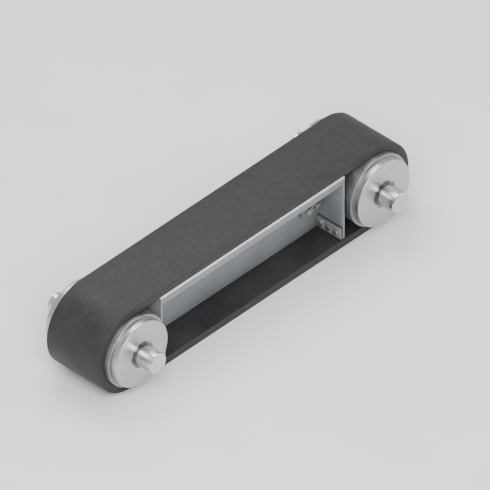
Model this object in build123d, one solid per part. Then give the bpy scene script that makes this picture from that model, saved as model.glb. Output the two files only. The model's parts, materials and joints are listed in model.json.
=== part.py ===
from build123d import *
import os

# Rubber track unit: a flat rubber belt runs round two split drums, over an inner
# slider bed whose centre web carries a bearing arm into the slot of each drum.
# +X is forward, +Y is the left side, +Z is up. The model is drawn about the axle
# height and lifted at export, so the origin is on the ground under the centre.

# ---- belt
wheel_spacing = 1140.0
belt_inner_radius = 132.0
belt_width = 230.0
inner_cover_thickness = 11.0
carcass_thickness = 7.0
outer_cover_thickness = 12.0
belt_edge_rubber = 9.0
cord_diameter = 4.0
cord_count = 14

# ---- drums
belt_running_gap = 0.3
shell_wall = 10.0
drum_overhang = 45.0
drum_slot = 46.0
cap_proud = 26.0
cap_engagement = 16.0
cap_face_thickness = 10.0
cap_skirt_wall = 8.0
cap_edge_round = 2.5
hub_radius = 60.0
hub_flange_thickness = 12.0

# ---- shafts
shaft_radius = 37.5
journal_radius = 42.5
stub_length = 72.0
shaft_chamfer = 3.0
centre_hole_radius = 8.0
centre_hole_depth = 10.0
key_width = 20.0
key_height = 12.0
key_seat_depth = 6.0
key_length = 64.0
drive_key_length = 50.0
drive_key_setback = 8.0
circlip_thickness = 2.5
circlip_groove_depth = 1.5
circlip_outer_radius = 44.0
circlip_gap = 9.0
circlip_recess_radius = 49.0
circlip_recess_depth = 6.0
groove_side_clearance = 0.2

# ---- bearings in the arms
running_clearance = 0.05
bush_wall = 5.0
seal_width = 6.0
seal_outer_radius = 55.0
thrust_washer_outer_radius = 58.0
thrust_clearance = 0.3
washer_bore_clearance = 0.5

# ---- bearing arms
housing_radius = 68.0
housing_width = 40.0
arm_width = 36.0
arm_height = 84.0
arm_lap = 94.3
arm_bolt_edge = 26.0
arm_bolt_rise = 24.0
arm_bolt_diameter = 16.0
arm_bolt_across_flats = 24.0
arm_bolt_head = 10.0
arm_nut_height = 13.0
arm_washer_diameter = 30.0
arm_washer_thickness = 3.0
arm_bolt_tail = 4.0
nipple_hex_across_flats = 10.0
nipple_hex_height = 5.0
nipple_thread_diameter = 8.0
nipple_thread_length = 9.0
nipple_stem_diameter = 6.5
nipple_stem_height = 9.0
nipple_nose_chamfer = 1.3
nipple_setback = 16.0

# ---- slider bed
web_thickness = 12.0
web_belt_gap = 4.0
wall_drum_gap = 6.0
wall_thickness = 8.0
bed_edge_inset = 2.0
channel_height = 24.0
channel_wall = 8.0
liner_thickness = 12.0
liner_lead_in = 6.0
liner_screws_in_row = 5
liner_screw_row_offset = 60.0
liner_screw_end_margin = 60.0
liner_screw_diameter = 10.0
liner_screw_head_diameter = 20.0
liner_screw_head_sink = 3.0
window_clearance = 0.5

# ---- belt wipers
wiper_height = 50.0
wiper_thickness = 8.0
wiper_lip = 10.0
wiper_web_gap = 2.0
clamp_thickness = 6.0
wiper_bolt_count = 3
wiper_bolt_diameter = 10.0
wiper_bolt_across_flats = 17.0
wiper_bolt_head = 6.5
wiper_bolt_end_margin = 18.0

# ---- worked out from the driving sizes
carcass_radius = belt_inner_radius + inner_cover_thickness
cover_radius = carcass_radius + carcass_thickness
belt_outer_radius = cover_radius + outer_cover_thickness
cord_radius = carcass_radius + carcass_thickness / 2
shell_radius = belt_inner_radius - belt_running_gap
shell_bore = shell_radius - shell_wall
drum_half_width = belt_width / 2 + drum_overhang
slot_half = drum_slot / 2
shell_end = drum_half_width - cap_proud
cap_inner_face = drum_half_width - cap_face_thickness
shaft_half_length = drum_half_width + stub_length
wall_outer_x = wheel_spacing / 2 - shell_radius - wall_drum_gap
wall_inner_x = wall_outer_x - wall_thickness
bed_half_width = belt_width / 2 - bed_edge_inset
liner_bottom = belt_inner_radius - liner_thickness
channel_bottom = liner_bottom - channel_height
channel_ceiling = liner_bottom - channel_wall
bed_bottom = -belt_inner_radius + web_belt_gap
arm_reach = wheel_spacing / 2 - wall_inner_x + arm_lap
arm_bolt_columns = (arm_reach - arm_bolt_edge, arm_reach - arm_lap + arm_bolt_edge)
wiper_top = -belt_inner_radius + wiper_height
clamp_bottom = -belt_inner_radius + wiper_lip
wiper_inner_y = web_thickness / 2 + wiper_web_gap
wiper_face_x = wall_inner_x - wiper_thickness
clamp_face_x = wiper_face_x - clamp_thickness

ENDS = {"front": 1, "rear": -1}
SIDES = {"left": 1, "right": -1}


def box(x0, x1, y0, y1, z0, z1):
    """A block between two corners."""
    size = Box(abs(x1 - x0), abs(y1 - y0), abs(z1 - z0))
    return Pos((x0 + x1) / 2, (y0 + y1) / 2, (z0 + z1) / 2) * size


def turned(points):
    """A solid of revolution about the Y axis, from (radius, y) corners."""
    outline = Polyline(*points, close=True)
    return revolve(make_face(outline), axis=Axis.Y)


def tube(inner, outer, y0, y1):
    """A ring about the Y axis."""
    return turned([(inner, y0), (outer, y0), (outer, y1), (inner, y1)])


def rod_y(radius, y0, y1):
    """A cylinder along Y."""
    rod = Cylinder(radius, y1 - y0, align=(Align.CENTER, Align.CENTER, Align.MIN))
    return Pos(0, y0, 0) * Rot(X=-90) * rod


def rod_x(radius, x0, x1):
    """A cylinder along X."""
    rod = Cylinder(radius, x1 - x0, align=(Align.CENTER, Align.CENTER, Align.MIN))
    return Pos(x0, 0, 0) * Rot(Y=90) * rod


def hexagon(across_flats, height):
    """A hexagonal prism standing on the XY plane."""
    return extrude(RegularPolygon(across_flats / 2, 6, major_radius=False), amount=height)


def at_side(shape, side):
    """A shape drawn on the left, moved to the side asked for."""
    return shape if side > 0 else mirror(shape, Plane.XZ)


def at_end(shape, end):
    """A shape drawn at the front, moved to the end asked for."""
    return shape if end > 0 else mirror(shape, Plane.YZ)


# ---- belt
def belt_layer(inner, outer, width):
    """One closed layer of the belt, between two radii."""
    section = SlotCenterToCenter(wheel_spacing, 2 * outer) - SlotCenterToCenter(wheel_spacing, 2 * inner)
    return extrude(Plane.XZ * section, amount=width / 2, both=True)


def belt_cord(y):
    """One steel cord, closed round the loop."""
    section = Circle(cord_diameter / 2)
    run = Plane.YZ * Pos(y, cord_radius) * section
    top = extrude(run, amount=wheel_spacing / 2, both=True)
    bottom = mirror(top, Plane.XY)
    bend_section = Plane.YZ * Pos(y, cord_radius) * section
    bend = revolve(bend_section, axis=Axis.Y, revolution_arc=180)
    front = Pos(wheel_spacing / 2, 0, 0) * bend
    rear = mirror(front, Plane.YZ)
    return top + bottom + front + rear


def belt_parts():
    carcass_width = belt_width - 2 * belt_edge_rubber
    pitch = carcass_width / cord_count
    first = -carcass_width / 2 + pitch / 2
    cords = [belt_cord(first + i * pitch) for i in range(cord_count)]
    carcass = belt_layer(carcass_radius, cover_radius, carcass_width)
    outer = belt_layer(carcass_radius, belt_outer_radius, belt_width) - carcass
    for cord in cords:
        carcass = carcass - cord
    return {
        "belt_outer_cover": outer,
        "belt_inner_cover": belt_layer(belt_inner_radius, carcass_radius, belt_width),
        "belt_carcass": carcass,
        "belt_cords": cords,
    }


# ---- drums, drawn about their own axis
def key_block(length, y_middle):
    """A round-ended key that faces forward, sunk in the shaft by its seat."""
    outline = Plane.YZ * SlotOverall(length, key_width)
    bottom = shaft_radius - key_seat_depth
    return Pos(bottom, y_middle, 0) * extrude(outline, amount=key_height)


def hub_key(side):
    middle = (slot_half + cap_inner_face) / 2
    return at_side(key_block(key_length, middle), side)


def shaft(driven):
    end = shaft_half_length
    groove_bottom = shaft_radius - circlip_groove_depth
    groove_in = drum_half_width - circlip_recess_depth
    groove_out = groove_in + circlip_thickness + groove_side_clearance
    half = [
        (0, 0),
        (journal_radius, 0),
        (journal_radius, slot_half),
        (shaft_radius, slot_half),
        (shaft_radius, groove_in),
        (groove_bottom, groove_in),
        (groove_bottom, groove_out),
        (shaft_radius, groove_out),
        (shaft_radius, end - shaft_chamfer),
        (shaft_radius - shaft_chamfer, end),
        (centre_hole_radius, end),
        (0, end - centre_hole_depth),
    ]
    left = turned(half)
    body = left + mirror(left, Plane.XZ)
    for side in SIDES.values():
        body = body - hub_key(side)
    if driven:
        middle = end - drive_key_setback - drive_key_length / 2
        body = body - key_block(drive_key_length, middle)
    return body


def hub(side):
    flange_out = slot_half + hub_flange_thickness
    casting = turned([
        (shaft_radius, slot_half),
        (shell_bore, slot_half),
        (shell_bore, flange_out),
        (hub_radius, flange_out),
        (hub_radius, cap_inner_face),
        (shaft_radius, cap_inner_face),
    ])
    keyway_top = shaft_radius + key_height - key_seat_depth
    keyway = box(0, keyway_top, slot_half, cap_inner_face, -key_width / 2, key_width / 2)
    bore = rod_y(shaft_radius, slot_half, cap_inner_face)
    return at_side(casting - (keyway - bore), side)


def shell(side):
    return at_side(tube(shell_bore, shell_radius, slot_half, shell_end), side)


def cap(side):
    skirt_end = shell_end - cap_engagement
    skirt_bore = shell_bore - cap_skirt_wall
    recess_floor = drum_half_width - circlip_recess_depth
    pressed = turned([
        (shaft_radius, cap_inner_face),
        (skirt_bore, cap_inner_face),
        (skirt_bore, skirt_end),
        (shell_bore, skirt_end),
        (shell_bore, drum_half_width - cap_edge_round),
        (shell_bore - cap_edge_round, drum_half_width),
        (circlip_recess_radius, drum_half_width),
        (circlip_recess_radius, recess_floor),
        (shaft_radius, recess_floor),
    ])
    return at_side(pressed, side)


def circlip(side):
    seat = drum_half_width - circlip_recess_depth
    inner = shaft_radius - circlip_groove_depth
    ring = tube(inner, circlip_outer_radius, seat, seat + circlip_thickness)
    gap = box(-circlip_gap / 2, circlip_gap / 2, seat, seat + circlip_thickness, -circlip_outer_radius, 0)
    return at_side(ring - gap, side)


def drum_parts(end_name, end):
    place = Pos(end * wheel_spacing / 2, 0, 0)
    parts = {f"{end_name}_shaft": place * shaft(driven=end < 0)}
    for side_name, side in SIDES.items():
        label = f"{end_name}_{side_name}"
        parts[f"{label}_hub"] = place * hub(side)
        parts[f"{label}_drum_shell"] = place * shell(side)
        parts[f"{label}_end_cap"] = place * cap(side)
        parts[f"{label}_hub_key"] = place * hub_key(side)
        parts[f"{label}_circlip"] = place * circlip(side)
    return parts


# ---- bearing arms, drawn at the front end
def arm_bolt_places():
    """Centre of each arm bolt at the front, as (x, z)."""
    places = []
    for column in arm_bolt_columns:
        for rise in (-arm_bolt_rise, arm_bolt_rise):
            places.append((wheel_spacing / 2 - column, rise))
    return places


def bearing_arm():
    axle = Pos(wheel_spacing / 2, 0, 0)
    half_housing = housing_width / 2
    ring = axle * rod_y(housing_radius, -half_housing, half_housing)
    beam = box(wheel_spacing / 2 - arm_reach, wheel_spacing / 2,
               -arm_width / 2, arm_width / 2, -arm_height / 2, arm_height / 2)
    body = ring + beam
    bush_radius = journal_radius + running_clearance + bush_wall
    body = body - axle * rod_y(bush_radius, -half_housing, half_housing)
    seat = axle * rod_y(seal_outer_radius, half_housing - seal_width, half_housing)
    body = body - seat - mirror(seat, Plane.XZ)
    body = body - box(wheel_spacing / 2 - arm_reach, wall_inner_x,
                      -web_thickness / 2, web_thickness / 2, -arm_height / 2, arm_height / 2)
    for x, z in arm_bolt_places():
        body = body - Pos(x, 0, z) * rod_y(arm_bolt_diameter / 2, -arm_width / 2, arm_width / 2)
    return body - nipple_place() * nipple_thread()


def nipple_place():
    """Where the grease nipple stands: on the arm's top, behind the end wall."""
    cheek_middle = (web_thickness / 2 + arm_width / 2) / 2
    return Pos(wall_inner_x - nipple_setback, cheek_middle, arm_height / 2)


def nipple_thread():
    return Pos(0, 0, -nipple_thread_length / 2) * Cylinder(nipple_thread_diameter / 2, nipple_thread_length)


def grease_nipple():
    stem = Cylinder(nipple_stem_diameter / 2, nipple_stem_height, align=(Align.CENTER, Align.CENTER, Align.MIN))
    nose = chamfer(stem.edges().sort_by(Axis.Z)[-1], nipple_nose_chamfer)
    body = nipple_thread() + hexagon(nipple_hex_across_flats, nipple_hex_height)
    return nipple_place() * (body + Pos(0, 0, nipple_hex_height) * nose)


def bush():
    inner = journal_radius + running_clearance
    half = housing_width / 2 - seal_width
    return Pos(wheel_spacing / 2, 0, 0) * tube(inner, inner + bush_wall, -half, half)


def seal():
    inner = journal_radius + running_clearance
    face = housing_width / 2
    return Pos(wheel_spacing / 2, 0, 0) * tube(inner, seal_outer_radius, face - seal_width, face)


def thrust_washer():
    inner = journal_radius + washer_bore_clearance
    face = housing_width / 2
    outer_face = slot_half - thrust_clearance
    return Pos(wheel_spacing / 2, 0, 0) * tube(inner, thrust_washer_outer_radius, face, outer_face)


def arm_bolt(x, z):
    """Bolt from the right side, with its head outside the arm's right washer."""
    seat = arm_width / 2 + arm_washer_thickness
    tail = seat + arm_nut_height + arm_bolt_tail
    shank = rod_y(arm_bolt_diameter / 2, -seat, tail)
    head = Pos(0, -seat, 0) * Rot(X=90) * hexagon(arm_bolt_across_flats, arm_bolt_head)
    return Pos(x, 0, z) * (shank + head)


def arm_nut(x, z):
    seat = arm_width / 2 + arm_washer_thickness
    nut = Pos(0, seat, 0) * Rot(X=-90) * hexagon(arm_bolt_across_flats, arm_nut_height)
    return Pos(x, 0, z) * (nut - rod_y(arm_bolt_diameter / 2, seat, seat + arm_nut_height))


def arm_washer(x, z, side):
    face = arm_width / 2
    ring = tube(arm_bolt_diameter / 2, arm_washer_diameter / 2, face, face + arm_washer_thickness)
    return at_side(Pos(x, 0, z) * ring, side)


def arm_parts():
    parts = {}
    for name, end in ENDS.items():
        parts[f"{name}_bearing_arm"] = at_end(bearing_arm(), end)
        parts[f"{name}_bush"] = at_end(bush(), end)
        parts[f"{name}_grease_nipple"] = at_end(grease_nipple(), end)
        for side_name, side in SIDES.items():
            parts[f"{name}_{side_name}_seal"] = at_end(at_side(seal(), side), end)
            parts[f"{name}_{side_name}_thrust_washer"] = at_end(at_side(thrust_washer(), side), end)
    places = [(end * x, z) for end in ENDS.values() for x, z in arm_bolt_places()]
    parts["arm_bolts"] = [arm_bolt(x, z) for x, z in places]
    parts["arm_nuts"] = [arm_nut(x, z) for x, z in places]
    parts["arm_washers"] = [arm_washer(x, z, side) for x, z in places for side in SIDES.values()]
    return parts


# ---- slider bed
def centre_web():
    body = box(-wall_inner_x, wall_inner_x, -web_thickness / 2, web_thickness / 2, bed_bottom, channel_ceiling)
    for end in ENDS.values():
        for x, z in arm_bolt_places():
            body = body - Pos(end * x, 0, z) * rod_y(arm_bolt_diameter / 2, -web_thickness, web_thickness)
    return body


def liner_screw_places():
    span = 2 * (wall_outer_x - liner_screw_end_margin)
    step = span / (liner_screws_in_row - 1)
    rows = (-liner_screw_row_offset, liner_screw_row_offset)
    return [(-span / 2 + i * step, y) for y in rows for i in range(liner_screws_in_row)]


def liner_screw(x, y, extra=0.0):
    """Countersunk screw; extra lengthens its head upwards, to cut the recess."""
    top = belt_inner_radius - liner_screw_head_sink
    head_radius = liner_screw_head_diameter / 2
    shank_radius = liner_screw_diameter / 2
    cone = Cone(shank_radius, head_radius, head_radius - shank_radius,
                align=(Align.CENTER, Align.CENTER, Align.MAX))
    shank_length = top - channel_ceiling
    shank = Cylinder(shank_radius, shank_length, align=(Align.CENTER, Align.CENTER, Align.MAX))
    body = cone + shank
    if extra:
        body = body + Cylinder(head_radius, extra, align=(Align.CENTER, Align.CENTER, Align.MIN))
    return Pos(x, y, top) * body


def slider_channel():
    outer = box(-wall_outer_x, wall_outer_x, -bed_half_width, bed_half_width, channel_bottom, liner_bottom)
    inner_half = bed_half_width - channel_wall
    hollow = box(-wall_outer_x, wall_outer_x, -inner_half, inner_half, channel_bottom, channel_ceiling)
    body = outer - hollow
    for x, y in liner_screw_places():
        body = body - liner_screw(x, y)
    return body


def wear_liner():
    half = wall_outer_x
    top = belt_inner_radius
    outline = Polyline(
        (-half, liner_bottom),
        (half, liner_bottom),
        (half, top - liner_lead_in),
        (half - liner_lead_in, top),
        (-half + liner_lead_in, top),
        (-half, top - liner_lead_in),
        close=True,
    )
    body = extrude(Plane.XZ * make_face(outline), amount=bed_half_width, both=True)
    for x, y in liner_screw_places():
        body = body - liner_screw(x, y, extra=liner_screw_head_sink)
    return body


def wiper_bolt_places():
    """Centre of each wiper bolt on the left, as (y, z)."""
    first = wiper_inner_y + wiper_bolt_end_margin
    last = bed_half_width - wiper_bolt_end_margin
    step = (last - first) / (wiper_bolt_count - 1)
    middle = (wiper_top + clamp_bottom) / 2
    return [(first + i * step, middle) for i in range(wiper_bolt_count)]


def wiper_bolt(y, z):
    shank = rod_x(wiper_bolt_diameter / 2, clamp_face_x, wall_outer_x)
    head = Pos(clamp_face_x, 0, 0) * Rot(Y=-90) * hexagon(wiper_bolt_across_flats, wiper_bolt_head)
    return Pos(0, y, z) * (shank + head)


def bored_for_wiper_bolts(body, side):
    for y, z in wiper_bolt_places():
        body = body - Pos(0, side * y, z) * rod_x(wiper_bolt_diameter / 2, clamp_face_x, wall_outer_x)
    return body


def end_wall():
    lower = box(wall_inner_x, wall_outer_x, -bed_half_width, bed_half_width, bed_bottom, channel_bottom)
    neck_half = bed_half_width - channel_wall
    upper = box(wall_inner_x, wall_outer_x, -neck_half, neck_half, channel_bottom, channel_ceiling)
    half_window = arm_width / 2 + window_clearance
    half_rise = arm_height / 2 + window_clearance
    window = box(wall_inner_x, wall_outer_x, -half_window, half_window, -half_rise, half_rise)
    body = lower + upper - window
    for side in SIDES.values():
        body = bored_for_wiper_bolts(body, side)
    return body


def wiper():
    body = box(wiper_face_x, wall_inner_x, wiper_inner_y, bed_half_width, -belt_inner_radius, wiper_top)
    return bored_for_wiper_bolts(body, 1)


def wiper_clamp():
    body = box(clamp_face_x, wiper_face_x, wiper_inner_y, bed_half_width, clamp_bottom, wiper_top)
    return bored_for_wiper_bolts(body, 1)


def bed_parts():
    parts = {
        "centre_web": centre_web(),
        "slider_channel": slider_channel(),
        "wear_liner": wear_liner(),
        "liner_screws": [liner_screw(x, y) for x, y in liner_screw_places()],
    }
    bolts = []
    for name, end in ENDS.items():
        parts[f"{name}_end_wall"] = at_end(end_wall(), end)
        for side_name, side in SIDES.items():
            parts[f"{name}_{side_name}_wiper"] = at_end(at_side(wiper(), side), end)
            parts[f"{name}_{side_name}_wiper_clamp"] = at_end(at_side(wiper_clamp(), side), end)
            bolts += [at_end(at_side(wiper_bolt(y, z), side), end) for y, z in wiper_bolt_places()]
    parts["wiper_bolts"] = bolts
    return parts


# ---- export
def solids_of(shape):
    """Every solid in a shape or a list of shapes."""
    shapes = shape if isinstance(shape, list) else [shape]
    return [solid for item in shapes for solid in item.solids()]


all_parts = {}
all_parts.update(belt_parts())
all_parts.update(bed_parts())
all_parts.update(arm_parts())
for end_name, end_sign in ENDS.items():
    all_parts.update(drum_parts(end_name, end_sign))

os.makedirs("parts", exist_ok=True)
lift = Pos(0, 0, belt_outer_radius)
for node, shape in all_parts.items():
    solids = [lift * solid for solid in solids_of(shape)]
    piece = solids[0] if len(solids) == 1 else Compound(children=solids)
    export_step(piece, f"parts/{node}.step")
print(len(all_parts), "nodes")
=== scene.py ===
import json
import math

import bmesh
import bpy
from mathutils import Matrix, Vector


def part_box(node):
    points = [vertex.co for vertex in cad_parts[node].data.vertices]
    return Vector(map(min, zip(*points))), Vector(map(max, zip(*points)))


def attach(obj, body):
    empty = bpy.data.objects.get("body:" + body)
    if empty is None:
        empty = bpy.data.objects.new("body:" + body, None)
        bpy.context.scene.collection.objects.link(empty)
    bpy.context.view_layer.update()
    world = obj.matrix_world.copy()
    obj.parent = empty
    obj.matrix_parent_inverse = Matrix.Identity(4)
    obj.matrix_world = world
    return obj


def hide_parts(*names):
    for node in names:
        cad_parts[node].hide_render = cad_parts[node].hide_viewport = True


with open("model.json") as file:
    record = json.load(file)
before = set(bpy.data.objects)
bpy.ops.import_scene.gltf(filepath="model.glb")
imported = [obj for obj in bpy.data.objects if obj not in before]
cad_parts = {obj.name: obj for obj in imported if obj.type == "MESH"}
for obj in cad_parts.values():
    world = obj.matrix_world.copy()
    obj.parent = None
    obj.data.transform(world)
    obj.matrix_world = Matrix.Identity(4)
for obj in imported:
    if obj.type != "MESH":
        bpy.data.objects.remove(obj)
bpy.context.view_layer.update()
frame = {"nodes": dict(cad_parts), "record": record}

# ------------------------------------------------------------------ sizes
# Everything is in metres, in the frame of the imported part.
MM = 0.001
NODES = frame["nodes"]
SLOT_OF = {row["node"]: row["material_slot"] for row in frame["record"]["subparts"]}


def corners(node):
    """The low and the high corner of a node's box."""
    low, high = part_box(node)
    return Vector(low), Vector(high)


BELT_LOW, BELT_HIGH = corners("belt_outer_cover")
LINING_LOW, LINING_HIGH = corners("belt_inner_cover")
CARCASS_LOW, CARCASS_HIGH = corners("belt_carcass")
AXLE_Z = (BELT_LOW.z + BELT_HIGH.z) / 2
BELT_RADIUS = (BELT_HIGH.z - BELT_LOW.z) / 2
AXLE_X = BELT_HIGH.x - BELT_RADIUS
BELT_HALF_WIDTH = BELT_HIGH.y
LINING_RADIUS = (LINING_HIGH.z - LINING_LOW.z) / 2
LINER_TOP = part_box("wear_liner")[1][2]
BELT_INNER_RADIUS = LINER_TOP - AXLE_Z
CARCASS_RADIUS = (CARCASS_HIGH.z - CARCASS_LOW.z) / 2
CARCASS_HALF_WIDTH = CARCASS_HIGH.y
ENDS = {"front": 1, "rear": -1}
SIDES = {"left": 1, "right": -1}
AXLE_PLACE = {end: sign * AXLE_X for end, sign in ENDS.items()}


# ------------------------------------------------------------------ camera, light and floor
CAMERA_AZIMUTH = math.radians(-46.5)
CAMERA_ELEVATION = math.radians(39.0)
CAMERA_WIDTH = 1.588
CAMERA_DISTANCE = 6.0
CAMERA_REACH = 50
AIM_RIGHT = 0.0565
AIM_UP = 0.025
WORLD_STRENGTH = 0.85
WORLD_COLOUR = (0.95, 0.97, 1.0)
FLOOR_HALF = 14.0
SOFTBOXES = (
    ("key_light", (-2.6, -2.4, 3.4), 2.2, 210),
    ("fill_light", (3.2, -2.0, 2.2), 3.0, 60),
    ("top_light", (0.6, 1.6, 3.6), 2.4, 90),
)


def add_camera():
    """An orthographic camera, a little right of and above the object's centre."""
    sin_a, cos_a = math.sin(CAMERA_AZIMUTH), math.cos(CAMERA_AZIMUTH)
    sin_e, cos_e = math.sin(CAMERA_ELEVATION), math.cos(CAMERA_ELEVATION)
    away = Vector((sin_a * cos_e, -cos_a * cos_e, sin_e))
    right = Vector((cos_a, sin_a, 0))
    up = away.cross(right)
    aim = Vector((0, 0, AXLE_Z)) + right * AIM_RIGHT + up * AIM_UP
    data = bpy.data.cameras.new("camera")
    data.type = "ORTHO"
    data.ortho_scale = CAMERA_WIDTH
    data.clip_end = CAMERA_REACH
    camera = bpy.data.objects.new("camera", data)
    turn = Matrix((right, up, away)).transposed()
    camera.matrix_world = Matrix.Translation(aim + away * CAMERA_DISTANCE) @ turn.to_4x4()
    bpy.context.scene.collection.objects.link(camera)
    bpy.context.scene.camera = camera


def add_softbox(name, place, size, power):
    """A square area light of a size in metres and a power in watts, aimed at the object's middle."""
    data = bpy.data.lights.new(name, "AREA")
    data.shape = "SQUARE"
    data.size = size
    data.energy = power
    light = bpy.data.objects.new(name, data)
    light.location = place
    light.rotation_euler = (Vector((0, 0, AXLE_Z)) - Vector(place)).to_track_quat("-Z", "Y").to_euler()
    bpy.context.scene.collection.objects.link(light)


def add_world(strength, colour):
    """An even, faint light from all round."""
    world = bpy.data.worlds.new("studio")
    world.use_nodes = True
    background = world.node_tree.nodes["Background"]
    background.inputs["Color"].default_value = (*colour, 1)
    background.inputs["Strength"].default_value = strength
    bpy.context.scene.world = world


def add_floor(half, material):
    """A square floor under the object."""
    mesh = bpy.data.meshes.new("floor")
    places = [(-half, -half, 0), (half, -half, 0), (half, half, 0), (-half, half, 0)]
    mesh.from_pydata(places, [], [(0, 1, 2, 3)])
    mesh.materials.append(material)
    floor = bpy.data.objects.new("floor", mesh)
    bpy.context.scene.collection.objects.link(floor)


# ------------------------------------------------------------------ node helpers
def socket(tree, name, kind, outgoing=False, value=None):
    """Adds a named socket to a node group's interface."""
    direction = "OUTPUT" if outgoing else "INPUT"
    made = tree.interface.new_socket(name, in_out=direction, socket_type=kind)
    if value is not None:
        made.default_value = value


def add(tree, kind, values=None, **settings):
    """A node with its settings, and values or links for its inputs."""
    node = tree.nodes.new(kind)
    for key, value in settings.items():
        setattr(node, key, value)
    for key, value in (values or {}).items():
        if isinstance(value, bpy.types.NodeSocket):
            tree.links.new(value, node.inputs[key])
        else:
            node.inputs[key].default_value = value
    return node


def maths(tree, operation, first, second=0.0, clamp=False):
    """One piece of arithmetic on numbers or links."""
    return add(tree, "ShaderNodeMath", {0: first, 1: second}, operation=operation, use_clamp=clamp).outputs[0]


def ramp(tree, source, low, high, low_out=0.0, high_out=1.0):
    """A smooth step between two values."""
    values = {0: source, 1: low, 2: high, 3: low_out, 4: high_out}
    return add(tree, "ShaderNodeMapRange", values, interpolation_type="SMOOTHSTEP").outputs[0]


def mixed(tree, factor, first, second):
    """A colour between two colours."""
    ends = [value if isinstance(value, bpy.types.NodeSocket) else (*value, 1) for value in (first, second)]
    return add(tree, "ShaderNodeMix", {0: factor, 6: ends[0], 7: ends[1]}, data_type="RGBA").outputs[2]


def new_group(name, inputs, outputs):
    """A shader node group with number outputs; returns the tree, what comes in and what goes out."""
    tree = bpy.data.node_groups.new(name, "ShaderNodeTree")
    for label, value in inputs.items():
        kind = "NodeSocketVector" if isinstance(value, tuple) else "NodeSocketFloat"
        socket(tree, label, kind, value=value)
    for label in outputs:
        socket(tree, label, "NodeSocketFloat", outgoing=True)
    return tree, tree.nodes.new("NodeGroupInput").outputs, tree.nodes.new("NodeGroupOutput").inputs


def object_point(tree):
    """A point of the surface, in the piece's own axes."""
    return tree.nodes.new("ShaderNodeTexCoord").outputs["Object"]


def noise(tree, vector, scale, detail=3.0, roughness=0.5):
    """A soft random value over the surface."""
    values = {"Vector": vector, "Scale": scale, "Detail": detail, "Roughness": roughness}
    return add(tree, "ShaderNodeTexNoise", values).outputs["Fac"]


# ------------------------------------------------------------------ shared effects
def make_edge_wear():
    """Mask of worn edges: where a rounded normal leaves the true one, broken up by noise."""
    tree, given, out = new_group("edge_wear", {"Width": 0.003, "Break Up": 60.0, "Amount": 1.0}, ["Mask"])
    rounded = add(tree, "ShaderNodeBevel", {"Radius": given["Width"]}, samples=6).outputs[0]
    true = tree.nodes.new("ShaderNodeNewGeometry").outputs["Normal"]
    dot = add(tree, "ShaderNodeVectorMath", {0: rounded, 1: true}, operation="DOT_PRODUCT").outputs["Value"]
    edge = ramp(tree, dot, 0.995, 0.86)
    chips = ramp(tree, noise(tree, object_point(tree), given["Break Up"], 6.0, 0.65), 0.42, 0.62)
    mask = maths(tree, "MULTIPLY", maths(tree, "MULTIPLY", edge, chips), given["Amount"], clamp=True)
    tree.links.new(mask, out["Mask"])
    return tree


def make_dust():
    """Mask of settled dust: more on faces that look up, in soft patches."""
    tree, given, out = new_group("dust", {"Patch Scale": 9.0, "Amount": 0.4, "Upward": 0.6}, ["Mask"])
    point = object_point(tree)
    broad = ramp(tree, noise(tree, point, given["Patch Scale"], 5.0, 0.6), 0.35, 0.75)
    fine = ramp(tree, noise(tree, point, 420.0, 2.0, 0.6), 0.3, 0.8, 0.55, 1.0)
    normal = tree.nodes.new("ShaderNodeNewGeometry").outputs["Normal"]
    rise = add(tree, "ShaderNodeSeparateXYZ", {0: normal}).outputs["Z"]
    up = maths(tree, "MULTIPLY", ramp(tree, rise, 0.0, 1.0), given["Upward"])
    level = maths(tree, "MULTIPLY", maths(tree, "ADD", up, 0.35), broad)
    mask = maths(tree, "MULTIPLY", maths(tree, "MULTIPLY", level, fine), given["Amount"], clamp=True)
    tree.links.new(mask, out["Mask"])
    return tree


def make_grain():
    """Fine surface height, and a broad tone that drifts over the piece."""
    tree, given, out = new_group("grain", {"Fine Scale": 900.0, "Broad Scale": 12.0}, ["Height", "Tone"])
    point = object_point(tree)
    height = noise(tree, point, given["Fine Scale"], 4.0, 0.6)
    tree.links.new(height, out["Height"])
    tree.links.new(ramp(tree, noise(tree, point, given["Broad Scale"], 4.0, 0.55), 0.25, 0.75), out["Tone"])
    return tree


def make_turned():
    """Lathe rings about an axle that lies along Y: height, and a streaky tone."""
    tree, given, out = new_group(
        "turned", {"Axle X": 0.0, "Axle Z": 0.0, "Pitch": 0.0008}, ["Height", "Tone"])
    place = add(tree, "ShaderNodeSeparateXYZ", {0: object_point(tree)}).outputs
    x = maths(tree, "SUBTRACT", place["X"], given["Axle X"])
    z = maths(tree, "SUBTRACT", place["Z"], given["Axle Z"])
    squares = maths(tree, "ADD", maths(tree, "MULTIPLY", x, x), maths(tree, "MULTIPLY", z, z))
    travel = maths(tree, "ADD", maths(tree, "SQRT", squares), place["Y"])
    phase = maths(tree, "DIVIDE", maths(tree, "MULTIPLY", travel, math.tau), given["Pitch"])
    wave = maths(tree, "SINE", phase)
    bands = add(tree, "ShaderNodeTexNoise", {"W": travel, "Scale": 900.0, "Detail": 4.0},
                noise_dimensions="1D")
    height = maths(tree, "ADD", maths(tree, "MULTIPLY", wave, 0.25), bands.outputs["Fac"])
    tree.links.new(height, out["Height"])
    tree.links.new(bands.outputs["Fac"], out["Tone"])
    return tree


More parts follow.
